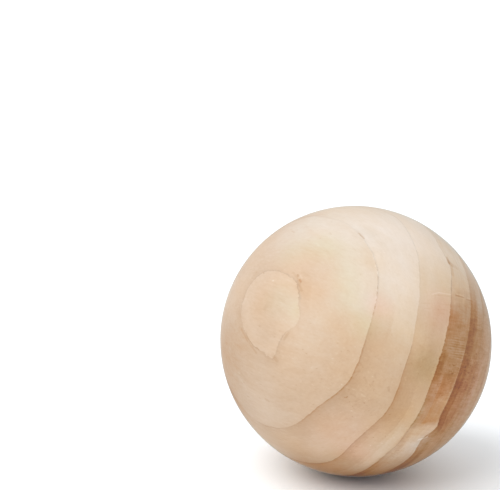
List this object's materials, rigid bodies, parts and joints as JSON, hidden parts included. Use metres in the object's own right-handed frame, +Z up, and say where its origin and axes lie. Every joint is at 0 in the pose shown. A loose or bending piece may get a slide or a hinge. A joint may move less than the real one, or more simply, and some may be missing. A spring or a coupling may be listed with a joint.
{
  "type": "wooden ball",
  "caption": "Plain solid wooden ball, turned from one block, smooth and unfinished, with the growth rings and end grain of the wood showing.",
  "frame": {"origin": "centre of the ball", "axes": "+Z up from the point that the ball rests on, +X to the right and +Y away from the viewer, with the visible end grain towards +X and -Y"},
  "size_m": [0.06, 0.06, 0.06],
  "materials": {
    "wood": "bare wood, sanded smooth, with no varnish"
  },
  "bodies": {
    "root": {"ball": "wood"}
  },
  "joints": []
}
